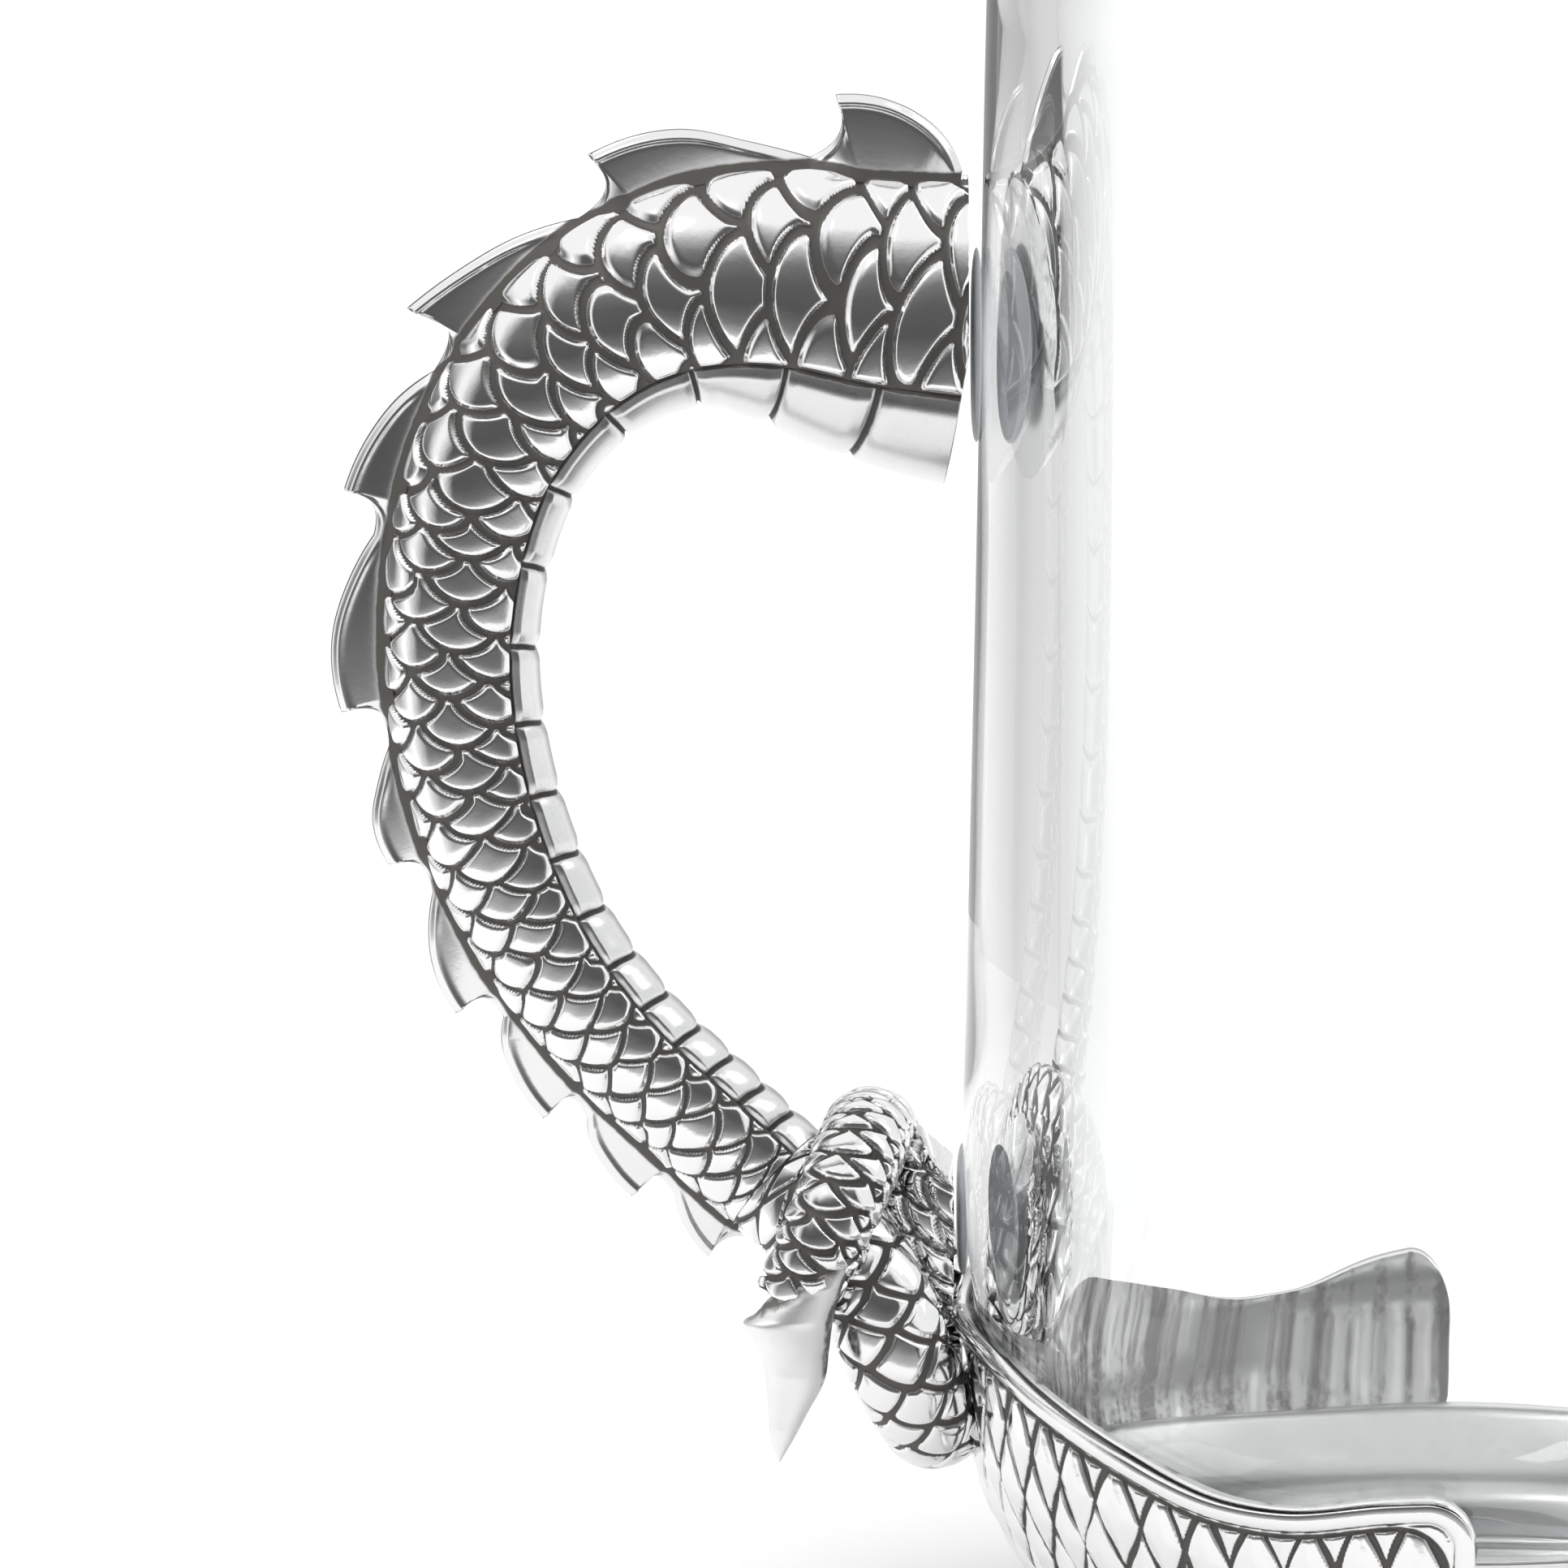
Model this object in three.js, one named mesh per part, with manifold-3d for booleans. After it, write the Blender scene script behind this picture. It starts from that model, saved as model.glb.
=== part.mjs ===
// A glass tankard in a cast pewter base, with a handle cast as a dragon's tail.
// Millimetres, +Z up. The origin is the centre of the underside, on the glass's axis.
// The handle stands on the -X side and its middle plane is XZ.

import * as THREE from 'three';
import { mergeVertices } from 'three/addons/utils/BufferGeometryUtils.js';
import Module from 'manifold-3d';

const wasm = await Module();
wasm.setup();

// ---- driving dimensions -------------------------------------------------------------------

const GAP = 0.2;               // between two pieces that bear on each other
const CUT_GAP = 0.3;           // left where one piece is notched round another
const ROUND = 48;              // facets round the glass and the base

const RIM_Z = 164;             // top of the glass
const GLASS_FOOT_Z = 5.2;      // underside of the glass
const GLASS_FLOOR_Z = 11.6;    // bottom of the drinking space
const DISH_TOP_Z = 19.3;       // edge of the base dish where the saddle leaves it bare
const DISH_FLOOR_Z = 4.4;      // face that the glass is bedded on
const SADDLE_THICK = 1.6;
const SADDLE_HALF_ANGLE = 90.5; // degrees each side of the handle
const SADDLE_NOSE_Z = 20.9;    // height of the rounded ends of the saddle
const SADDLE_NOSE_SPAN = 6;    // degrees over which a nose is rounded
const SADDLE_EDGE_HALF = 0.3;  // half height that is left at the very end of a nose
const SADDLE_CLOSES = [DISH_TOP_Z + 2.6, DISH_TOP_Z + 5.5]; // its inside moves from dish to glass
const SADDLE_SWELLS = [DISH_TOP_Z - 4, DISH_TOP_Z + 10];    // its outside does so more gently
const BEDDING_RADIUS = 30.5;
const PAD_RADIUS = 32.8;
const PAD_THICK = 1.2;
const TAIL_END_X = -43.75;     // plane of the tail's upper end
const POST_END_X = -44.85;     // plane of the post's end, towards the glass
const POST_AXIS = [[-43, 41.2], [-56.2, 30.4]]; // x and z of its two ends
const POST_RADII = [8.2, 6.6]; // at the glass and at its free end
const POST_HALF_DEPTH = 5.6;   // the post is flattened to this across the handle
const CREST_THICK = 2.6;
const CREST_NOTCH = 0.9;       // how high the crest stands in a notch between two fins
const CREST_START = 0.004;     // share of the arch at which the crest begins
const SPADE_THICK = 1.6;       // of the blade between its two bevelled faces
const SPADE_BEVEL = 0.8;       // how far the outline grows towards the middle of the blade
const BOND_DEPTH = 3;          // length of a bonding pad before it is cut to the glass

// Outer radius of the glass at each height, from the heel up.
const GLASS_OUTSIDE = [
  [31.0, GLASS_FOOT_Z], [33.2, 6.0], [34.9, 7.7], [37.4, 12], [40.1, 18.9], [41.7, 25],
  [42.9, 31.4], [43.8, 38], [44.1, 45], [43.8, 60], [43.0, 100], [42.2, 150], [41.9, 162.6],
];
// Inner radius, from the rim down.
const GLASS_INSIDE = [
  [38.3, 162.8], [36.9, 158], [36.3, 148], [35.9, 100], [35.7, 40], [35.5, 24], [34.2, 17],
  [31.2, 13.2], [27.0, GLASS_FLOOR_Z],
];

// Outer radius of the dish at each height, from its waist up. The last point is past its edge.
const DISH_OUTSIDE = [[36.9, 4], [36.2, 5.4], [36.5, 7.7], [38.9, 12], [41.6, 18.9], [43.2, 25]];
// The rounded ring that the dish stands on, from the table up.
const DISH_FOOT = [[38.6, 0.3], [39.4, 0.9], [39.5, 1.9], [38.6, 2.9], [37.4, 3.5]];
const DISH_FLOOR_RADIUS = 31.6;

// Stations of the tail from the glass to the tip: x, y, z, half height in the plane of the
// bend, half width across it, and how deep the belly strip reaches into the section.
const ARCH = [
  [-43.7, 0, 119.8, 13.8, 9.6, 9.6],
  [-51.6, 0, 121.3, 13.0, 9.3, 8.2],
  [-59.3, 0, 123.2, 11.7, 8.8, 6.4],
  [-66.8, 0, 123.5, 10.5, 8.2, 4.6],
  [-73.4, 0, 121.3, 9.5, 7.7, 3.8],
  [-79.0, 0, 117.2, 8.7, 7.3, 3.2],
  [-84.6, 0, 109.5, 7.8, 6.8, 2.6],
  [-87.6, 0, 100.0, 7.2, 6.4, 2.2],
  [-88.4, 0, 91.0, 6.9, 6.1, 2.1],
  [-87.4, 0, 82.0, 6.75, 6.0, 2.1],
  [-84.6, 0, 72.5, 6.5, 5.8, 2.2],
  [-79.8, 0, 63.0, 6.1, 5.6, 2.2],
  [-73.4, 0, 54.9, 5.85, 5.4, 2.2],
  [-66.7, 0, 48.5, 5.75, 5.3, 2.1],
  [-60.4, -0.5, 42.7, 5.6, 5.2, 2.0],
];
// Then once round the post: down in front of it, under it, up behind, and over the top.
const COIL = [
  [-55.6, -4.5, 38.6, 5.2, 5.0, 2],
  [-51.8, -8.6, 34.0, 4.9, 4.9, 2],
  [-49.6, -9.6, 28.6, 4.8, 4.8, 2],
  [-47.3, -6.5, 23.4, 4.6, 4.6, 2],
  [-46.4, -0.5, 21.2, 4.4, 4.4, 2],
  [-46.4, 6.0, 23.2, 4.3, 4.3, 2],
  [-47.2, 9.8, 29.0, 4.2, 4.2, 2],
  [-49.3, 10.4, 36.0, 4.1, 4.1, 2],
  [-51.2, 7.6, 42.2, 4.1, 4.1, 2],
  [-52.2, 1.5, 46.6, 4.0, 4.0, 2],
  [-53.3, -5.2, 46.4, 4.0, 4.0, 2],
  [-55.2, -10.6, 43.2, 3.9, 3.9, 2],
  [-57.2, -12.4, 39.0, 3.8, 3.8, 2],
  [-58.8, -12.4, 35.4, 3.6, 3.6, 2],
];
const LOWER_COIL_STATIONS = 6;  // of the coil's stations, those in the lower casting

// Fins of the crest from the glass to the knot: where along the arch each one's point is,
// from 0 to 1, and how high it stands above the tail.
const FINS = [
  [0.123, 6.4], [0.229, 4.7], [0.341, 5.4], [0.438, 4.6], [0.569, 4.1],
  [0.666, 3.2], [0.769, 3.7], [0.851, 3.7], [0.932, 3.5], [0.988, 3.2],
];
// How a fin climbs: share of its length and share of its height.
const FIN_RISE = [[0, 0], [0.2, 0.42], [0.45, 0.7], [0.72, 0.88], [1, 1]];
const FIRST_FIN_POWER = 0.7;   // the first fin climbs by this power of its length instead
// The hollow behind a fin's point: share of the arch past the point, and share of its height.
const FIN_HOOK = [[-0.005, 0.6], [0.002, 0.25], [0.012, 0]];

// The two edges of the saddle as degrees from the handle and height.
const SADDLE_TOP = [
  [0, 31.3], [20, 31.6], [32, 29.4], [46, 26.6], [60, 24.0], [68, 23.8], [80, 25.2], [90.5, 25.6],
];
const SADDLE_BOTTOM = [
  [0, 6.0], [30, 7.0], [45, 9.0], [60, 12.0], [75, 15.0], [84, 16.3], [90.5, 16.4],
];

// ---- materials ----------------------------------------------------------------------------

const pewter = new THREE.MeshStandardMaterial({ color: 0xb9b9b7, roughness: 0.2, metalness: 1 });
const darkPewter = new THREE.MeshStandardMaterial({ color: 0x8c8b88, roughness: 0.45, metalness: 1 });
const glass = new THREE.MeshStandardMaterial({
  color: 0xeef3f4, roughness: 0.03, metalness: 0, transparent: true, opacity: 0.3,
});
const clearBond = new THREE.MeshStandardMaterial({
  color: 0xe4e8ea, roughness: 0.2, metalness: 0, transparent: true, opacity: 0.5,
});
const felt = new THREE.MeshStandardMaterial({ color: 0x1d1d1f, roughness: 0.95, metalness: 0 });

// ---- solids: booleans only ----------------------------------------------------------------

function toSolid(geometry) {
  const bare = geometry.clone();
  bare.deleteAttribute('normal');
  bare.deleteAttribute('uv');
  const merged = mergeVertices(bare, 1e-4);
  const vertProperties = new Float32Array(merged.attributes.position.array);
  const triVerts = new Uint32Array(merged.index.array);
  return new wasm.Manifold(new wasm.Mesh({ numProp: 3, vertProperties, triVerts }));
}

// The largest body of a solid, as a geometry.
function toGeometry(solid) {
  const body = solid.decompose().sort((a, b) => b.volume() - a.volume())[0];
  const mesh = body.getMesh();
  const geometry = new THREE.BufferGeometry();
  geometry.setAttribute('position', new THREE.BufferAttribute(mesh.vertProperties, 3));
  geometry.setIndex(new THREE.BufferAttribute(mesh.triVerts, 1));
  geometry.computeVertexNormals();
  return geometry;
}

function cutAway(geometry, ...tools) {
  return toGeometry(tools.reduce((left, tool) => left.subtract(toSolid(tool)), toSolid(geometry)));
}

// ---- shared shapes ------------------------------------------------------------------------

// A smooth curve through [x, y] points, as y for a given x. The x of the points only rises.
function smooth(points) {
  const curve = new THREE.SplineCurve(points.map(([x, y]) => new THREE.Vector2(x, y)));
  const samples = curve.getPoints(points.length * 12);
  return (x) => {
    const i = samples.findIndex((p) => p.x >= x);
    if (i <= 0) return (i === 0 ? samples[0] : samples[samples.length - 1]).y;
    const [a, b] = [samples[i - 1], samples[i]];
    return THREE.MathUtils.lerp(a.y, b.y, (x - a.x) / (b.x - a.x || 1));
  };
}

const glassRadius = smooth(GLASS_OUTSIDE.map(([r, z]) => [z, r]));
const dishRadius = smooth(DISH_OUTSIDE.map(([r, z]) => [z, r]));

// The saddle lies on the dish, and above the dish's edge it closes in on the glass.
function saddleInside(z) {
  const above = THREE.MathUtils.smoothstep(z, ...SADDLE_CLOSES);
  return THREE.MathUtils.lerp(dishRadius(z), glassRadius(z), above) + GAP;
}
function saddleOutside(z) {
  const above = THREE.MathUtils.smoothstep(z, ...SADDLE_SWELLS);
  const base = THREE.MathUtils.lerp(dishRadius(z), glassRadius(z), above);
  return base + GAP + SADDLE_THICK;
}

// A round solid from an outline of [radius, height] points, turned about +Z.
function turned(outline) {
  const lathe = new THREE.LatheGeometry(outline.map(([r, z]) => new THREE.Vector2(r, z)), ROUND);
  return lathe.rotateX(Math.PI / 2);
}

// Everything inside a radius that changes with height, used to cut a piece to fit round it.
function envelope(radiusAt, low, high, extra) {
  const rows = 14;
  const outline = [[0, low]];
  for (let i = 0; i <= rows; i++) {
    const z = THREE.MathUtils.lerp(low, high, i / rows);
    outline.push([radiusAt(z) + extra, z]);
  }
  outline.push([0, high]);
  return turned(outline);
}

// ---- the tail's path ----------------------------------------------------------------------

const STATIONS = [...ARCH, ...COIL];
const tailPath = new THREE.CatmullRomCurve3(STATIONS.map(([x, y, z]) => new THREE.Vector3(x, y, z)));
const tailSizes = new THREE.CatmullRomCurve3(
  STATIONS.map(([, , , high, wide, belly]) => new THREE.Vector3(high, wide, belly)));
const FRAMES = 600;
tailPath.arcLengthDivisions = FRAMES;
const frames = tailPath.computeFrenetFrames(FRAMES);
const outward = Math.sign(frames.binormals[0].z); // the side away from the fingers

// Share of the path's length at a station.
function shareAt(station) {
  const lengths = tailPath.getLengths(FRAMES);
  const t = station / (STATIONS.length - 1);
  return lengths[Math.round(t * FRAMES)] / lengths[FRAMES];
}

// Place, axes and sizes of the tail's section at a share of the path's length.
function tailAt(share) {
  const t = tailPath.getUtoTmapping(share);
  const size = tailSizes.getPoint(t);
  const i = Math.round(share * FRAMES);
  return {
    centre: tailPath.getPoint(t),
    side: frames.normals[i],
    out: frames.binormals[i].clone().multiplyScalar(outward),
    high: size.x, wide: size.y, belly: size.z,
  };
}

// Bends a closed cylinder along the tail from one share to another. section(angle, station)
// gives the place of each corner of the outline as [across, outward].
function alongTail(from, to, sides, steps, section) {
  const geometry = new THREE.CylinderGeometry(1, 1, 1, sides, steps);
  const position = geometry.attributes.position;
  const point = new THREE.Vector3();
  for (let i = 0; i < position.count; i++) {
    point.fromBufferAttribute(position, i);
    const station = tailAt(THREE.MathUtils.lerp(from, to, 0.5 - point.y));
    const inside = Math.hypot(point.x, point.z) < 0.5; // the middle of an end
    const corner = section(Math.atan2(point.z, point.x), station);
    const middle = section(null, station);
    const [across, out] = inside ? middle : corner;
    point.copy(station.centre)
      .addScaledVector(station.side, across)
      .addScaledVector(station.out, out);
    position.setXYZ(i, point.x, point.y, point.z);
  }
  const solid = toSolid(geometry);
  if (solid.volume() > 0) return toGeometry(solid);
  return reversed(geometry);
}

function reversed(geometry) {
  const index = geometry.index.array;
  for (let i = 0; i < index.length; i += 3) [index[i + 1], index[i + 2]] = [index[i + 2], index[i + 1]];
  return geometry;
}

const roundSection = (extra) => (angle, { high, wide }) => (angle === null
  ? [0, 0]
  : [(wide + extra) * Math.cos(angle), (high + extra) * Math.sin(angle)]);

// An ellipse cut by a chord: the scaled back above it, or the belly strip below it.
function cutSection(above) {
  return (angle, { high, wide, belly }) => {
    const chord = -(high - belly) + (above ? GAP / 2 : -GAP / 2);
    const start = Math.asin(chord / high);
    if (angle === null) return [0, above ? 0 : (chord - high) / 2];
    const turn = THREE.MathUtils.euclideanModulo(angle, 2 * Math.PI) / (2 * Math.PI);
    const arcShare = above ? 0.75 : 0.6;
    const span = above ? Math.PI - 2 * start : -(Math.PI + 2 * start);
    if (turn <= arcShare) {
      const swing = start + (turn / arcShare) * span;
      return [wide * Math.cos(swing), high * Math.sin(swing)];
    }
    const half = wide * Math.cos(start);
    return [THREE.MathUtils.mapLinear(turn, arcShare, 1, -half, half), chord];
  };
}

// ---- glass, base and pads -----------------------------------------------------------------

function glassBody() {
  const rim = [[41.2, RIM_Z - 0.5], [40.1, RIM_Z], [39.1, RIM_Z - 0.3]];
  return turned([[0, GLASS_FOOT_Z], ...GLASS_OUTSIDE, ...rim, ...GLASS_INSIDE, [0, GLASS_FLOOR_Z]]);
}

function baseDish() {
  const recess = PAD_RADIUS + GAP;
  const under = [[0, PAD_THICK + GAP], [recess, PAD_THICK + GAP], [recess + 0.3, DISH_FOOT[0][1]]];
  const outside = [4.2, 5.4, 7.7, 11, 15, 18.4].map((z) => [dishRadius(z), z]);
  const edge = [
    [dishRadius(DISH_TOP_Z) - 0.3, DISH_TOP_Z],
    [glassRadius(DISH_TOP_Z) + GAP + 0.3, DISH_TOP_Z],
  ];
  const inside = [18.4, 15, 11, 7.7, 6].map((z) => [glassRadius(z) + GAP, z]);
  const floor = [[DISH_FLOOR_RADIUS, DISH_FLOOR_Z], [0, DISH_FLOOR_Z]];
  return turned([...under, ...DISH_FOOT, ...outside, ...edge, ...inside, ...floor]);
}

function disc(radius, low, high) {
  return turned([[0, low], [radius, low], [radius, high], [0, high]]);
}

// A gridded box is wrapped round the base, and its height follows the saddle's two edges.
function scaleSaddle() {
  const geometry = new THREE.BoxGeometry(2, 2, 2, 44, 6, 1);
  const position = geometry.attributes.position;
  const topAt = smooth(SADDLE_TOP);
  const bottomAt = smooth(SADDLE_BOTTOM);
  for (let i = 0; i < position.count; i++) {
    const along = Math.sin(position.getX(i) * Math.PI / 2);
    const degrees = Math.abs(along) * SADDLE_HALF_ANGLE;
    const fromEnd = SADDLE_HALF_ANGLE - degrees;
    const into = THREE.MathUtils.clamp(1 - fromEnd / SADDLE_NOSE_SPAN, 0, 1);
    const rounding = Math.max(Math.sqrt(1 - into * into), 0.06);
    const top = SADDLE_NOSE_Z + (topAt(degrees) - SADDLE_NOSE_Z) * rounding;
    const bottom = SADDLE_NOSE_Z + (bottomAt(degrees) - SADDLE_NOSE_Z) * rounding;
    const half = Math.max((top - bottom) / 2, SADDLE_EDGE_HALF);
    const z = (top + bottom) / 2 + half * position.getY(i);
    const radius = position.getZ(i) > 0 ? saddleOutside(z) : saddleInside(z);
    const turn = Math.PI - along * THREE.MathUtils.degToRad(SADDLE_HALF_ANGLE);
    position.setXYZ(i, radius * Math.cos(turn), -radius * Math.sin(turn), z);
  }
  return toSolid(geometry).volume() > 0 ? geometry : reversed(geometry);
}

// A flat oval of bonding resin between a pewter face at x and the glass.
function bondPad(x, halfWidth, low, high) {
  const oval = new THREE.Shape();
  oval.absellipse(0, 0, halfWidth, (high - low) / 2, 0, 2 * Math.PI);
  const options = { depth: BOND_DEPTH, bevelEnabled: false, curveSegments: 14 };
  const blank = new THREE.ExtrudeGeometry(oval, options);
  blank.rotateX(Math.PI / 2).rotateZ(Math.PI / 2).translate(x + GAP, 0, (low + high) / 2);
  return cutAway(blank, envelope(glassRadius, low - BOND_DEPTH, high + BOND_DEPTH, GAP));
}

// ---- the handle ---------------------------------------------------------------------------

const archEnd = shareAt(ARCH.length - 1);
const coilSplit = shareAt(ARCH.length - 1 + LOWER_COIL_STATIONS);
const JOINT_SHARE = 0.0012;    // length of path left open at a soldered joint

function nearPlane(x) {        // everything on the glass side of a plane across X
  return new THREE.BoxGeometry(40, 80, 80).translate(x + 20, 0, 119);
}

const saddleTool = () => envelope(saddleOutside, 4, 33, CUT_GAP);

function tailArch() {
  return cutAway(alongTail(0, archEnd, 18, 34, cutSection(true)), nearPlane(TAIL_END_X));
}

function bellyPlates() {
  return cutAway(alongTail(0, archEnd, 10, 34, cutSection(false)), nearPlane(TAIL_END_X));
}

function coilTool(from, to) {
  return alongTail(from, to, 14, 18, roundSection(CUT_GAP));
}

function lowerCoil() {
  const coil = alongTail(archEnd + JOINT_SHARE, coilSplit, 14, 18, roundSection(0));
  return cutAway(coil, saddleTool());
}

function upperCoil() {
  const coil = alongTail(coilSplit + JOINT_SHARE, 1, 14, 24, roundSection(0));
  const before = coilTool(archEnd - 0.08, coilSplit - 0.03);
  return cutAway(coil, before, saddleTool());
}

// A stub that leans down from the glass. The tail is wrapped once round it.
function handlePost() {
  const [start, stop] = POST_AXIS.map(([x, z]) => new THREE.Vector3(x, 0, z));
  const [wide, narrow] = POST_RADII;
  const blank = new THREE.CylinderGeometry(narrow, wide, start.distanceTo(stop), 20, 3);
  blank.scale(1, 1, POST_HALF_DEPTH / ((wide + narrow) / 2));
  const middle = start.clone().lerp(stop, 0.5);
  const lean = Math.atan2(stop.z - start.z, stop.x - start.x);
  blank.rotateX(Math.PI / 2).rotateY(Math.PI / 2 - lean).translate(middle.x, 0, middle.z);
  const glassSide = new THREE.BoxGeometry(20, 40, 60).translate(POST_END_X + 10, 0, 40);
  return cutAway(blank, glassSide, saddleTool(),
    coilTool(archEnd - 0.05, coilSplit + 0.01), coilTool(coilSplit - 0.01, 1));
}

// The crest's outline: each fin climbs from the last one's notch and ends in a point that
// leans back over the next notch.
function dorsalCrest() {
  const onTail = (share, height) => {
    const { centre, out, high } = tailAt(THREE.MathUtils.clamp(share, 0, 1) * archEnd);
    const reach = high + GAP + height;
    return new THREE.Vector2(centre.x + out.x * reach, centre.z + out.z * reach);
  };
  const edge = [];
  let start = CREST_START;
  FINS.forEach(([point, height], n) => {
    const climb = height - CREST_NOTCH;
    for (const [along, up] of FIN_RISE) {
      const rise = n === 0 ? Math.pow(along, FIRST_FIN_POWER) : up;
      edge.push(onTail(THREE.MathUtils.lerp(start, point, along), CREST_NOTCH + rise * climb));
    }
    for (const [past, up] of FIN_HOOK) edge.push(onTail(point + past, CREST_NOTCH + up * climb));
    start = point + FIN_HOOK[FIN_HOOK.length - 1][0];
  });
  const rows = 40;
  const last = Math.min(start, 0.99);
  const base = [];
  for (let i = rows; i >= 0; i--) {
    base.push(onTail(THREE.MathUtils.lerp(CREST_START, last, i / rows), 0));
  }
  const shape = new THREE.Shape([...edge, ...base]);
  const strip = new THREE.ExtrudeGeometry(shape, { depth: CREST_THICK, bevelEnabled: false });
  strip.rotateX(Math.PI / 2).translate(0, CREST_THICK / 2, 0);
  return cutAway(strip, nearPlane(TAIL_END_X), coilTool(coilSplit, 1), coilTool(archEnd, coilSplit));
}

// The spade-shaped point: a barb on the outer side and a long blade that hangs down.
function tailSpade() {
  const outline = new THREE.Shape();
  outline.moveTo(-2.4, 0.6);
  outline.lineTo(-2.7, -1.6);
  outline.lineTo(-3.8, -2.9);
  outline.quadraticCurveTo(-2.3, -4.6, -2.0, -7.0);
  outline.lineTo(-1.8, -13.6);
  outline.lineTo(-1.3, -14.4);
  outline.lineTo(2.2, -7.6);
  outline.lineTo(2.7, 0.6);
  outline.closePath();
  const blade = new THREE.ExtrudeGeometry(outline, {
    depth: SPADE_THICK, bevelThickness: 1.4, bevelSize: SPADE_BEVEL, bevelSegments: 2, curveSegments: 5,
  });
  const end = tailAt(1).centre;
  blade.rotateX(Math.PI / 2).translate(end.x, end.y + SPADE_THICK / 2, end.z + 0.3);
  return cutAway(blade, coilTool(coilSplit, 1), coilTool(archEnd - 0.05, coilSplit));
}

// ---- assembly -----------------------------------------------------------------------------

const tankard = new THREE.Group();

function add(name, geometry, material) {
  const mesh = new THREE.Mesh(geometry, material);
  mesh.name = name;
  tankard.add(mesh);
}

add('glass_body', glassBody(), glass);
add('base_dish', baseDish(), darkPewter);
add('scale_saddle', scaleSaddle(), pewter);
add('glass_bedding', disc(BEDDING_RADIUS, DISH_FLOOR_Z + GAP, GLASS_FOOT_Z - GAP), clearBond);
add('foot_pad', disc(PAD_RADIUS, 0, PAD_THICK), felt);
add('tail_arch', tailArch(), pewter);
add('belly_plates', bellyPlates(), pewter);
add('dorsal_crest', dorsalCrest(), pewter);
add('tail_coil_lower', lowerCoil(), pewter);
add('tail_coil_upper', upperCoil(), pewter);
add('tail_spade', tailSpade(), pewter);
add('handle_post', handlePost(), pewter);
add('upper_bond', bondPad(TAIL_END_X, 5.5, 109.8, 127.2), clearBond);
add('lower_bond', bondPad(POST_END_X, 4.2, 34.2, 46.0), clearBond);

export default tankard;
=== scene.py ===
# A glass tankard in a cast pewter base, with a handle cast as a dragon's tail.
# Lengths are in millimetres until a mesh is made, and then in metres. +Z is up.

import math

import bpy
import numpy as np
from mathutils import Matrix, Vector

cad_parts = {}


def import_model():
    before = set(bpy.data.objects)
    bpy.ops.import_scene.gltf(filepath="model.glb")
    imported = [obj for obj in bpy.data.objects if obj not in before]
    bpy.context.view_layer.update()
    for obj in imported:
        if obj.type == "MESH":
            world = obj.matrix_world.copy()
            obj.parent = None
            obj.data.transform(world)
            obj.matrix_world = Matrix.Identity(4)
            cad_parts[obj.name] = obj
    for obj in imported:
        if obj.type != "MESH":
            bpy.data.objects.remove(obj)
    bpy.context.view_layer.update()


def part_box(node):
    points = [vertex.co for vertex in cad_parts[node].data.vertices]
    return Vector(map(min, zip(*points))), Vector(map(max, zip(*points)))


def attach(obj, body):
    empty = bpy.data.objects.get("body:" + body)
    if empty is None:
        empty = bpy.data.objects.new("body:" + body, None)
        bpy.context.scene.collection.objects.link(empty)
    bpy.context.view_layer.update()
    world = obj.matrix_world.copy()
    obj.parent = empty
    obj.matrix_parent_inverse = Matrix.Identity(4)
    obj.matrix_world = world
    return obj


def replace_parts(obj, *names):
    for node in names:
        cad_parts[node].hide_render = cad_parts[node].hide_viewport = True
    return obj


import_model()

MM = 0.001

# ---- the tail's route, as in the CAD ------------------------------------------------------
# x, y, z, half height in the plane of the bend, half width, depth of the belly strip.
ARCH = [
    (-43.7, 0, 119.8, 13.8, 9.6, 9.6),
    (-51.6, 0, 121.3, 13.0, 9.3, 8.2),
    (-59.3, 0, 123.2, 11.7, 8.8, 6.4),
    (-66.8, 0, 123.5, 10.5, 8.2, 4.6),
    (-73.4, 0, 121.3, 9.5, 7.7, 3.8),
    (-79.0, 0, 117.2, 8.7, 7.3, 3.2),
    (-84.6, 0, 109.5, 7.8, 6.8, 2.6),
    (-87.6, 0, 100.0, 7.2, 6.4, 2.2),
    (-88.4, 0, 91.0, 6.9, 6.1, 2.1),
    (-87.4, 0, 82.0, 6.75, 6.0, 2.1),
    (-84.6, 0, 72.5, 6.5, 5.8, 2.2),
    (-79.8, 0, 63.0, 6.1, 5.6, 2.2),
    (-73.4, 0, 54.9, 5.85, 5.4, 2.2),
    (-66.7, 0, 48.5, 5.75, 5.3, 2.1),
    (-60.4, -0.5, 42.7, 5.6, 5.2, 2.0),
]
COIL = [
    (-55.6, -4.5, 38.6, 5.2, 5.0, 2),
    (-51.8, -8.6, 34.0, 4.9, 4.9, 2),
    (-49.6, -9.6, 28.6, 4.8, 4.8, 2),
    (-47.3, -6.5, 23.4, 4.6, 4.6, 2),
    (-46.4, -0.5, 21.2, 4.4, 4.4, 2),
    (-46.4, 6.0, 23.2, 4.3, 4.3, 2),
    (-47.2, 9.8, 29.0, 4.2, 4.2, 2),
    (-49.3, 10.4, 36.0, 4.1, 4.1, 2),
    (-51.2, 7.6, 42.2, 4.1, 4.1, 2),
    (-52.2, 1.5, 46.6, 4.0, 4.0, 2),
    (-53.3, -5.2, 46.4, 4.0, 4.0, 2),
    (-55.2, -10.6, 43.2, 3.9, 3.9, 2),
    (-57.2, -12.4, 39.0, 3.8, 3.8, 2),
    (-58.8, -12.4, 35.4, 3.6, 3.6, 2),
]
LOWER_COIL_STATIONS = 6
TAIL_END_X = -43.75

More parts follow.
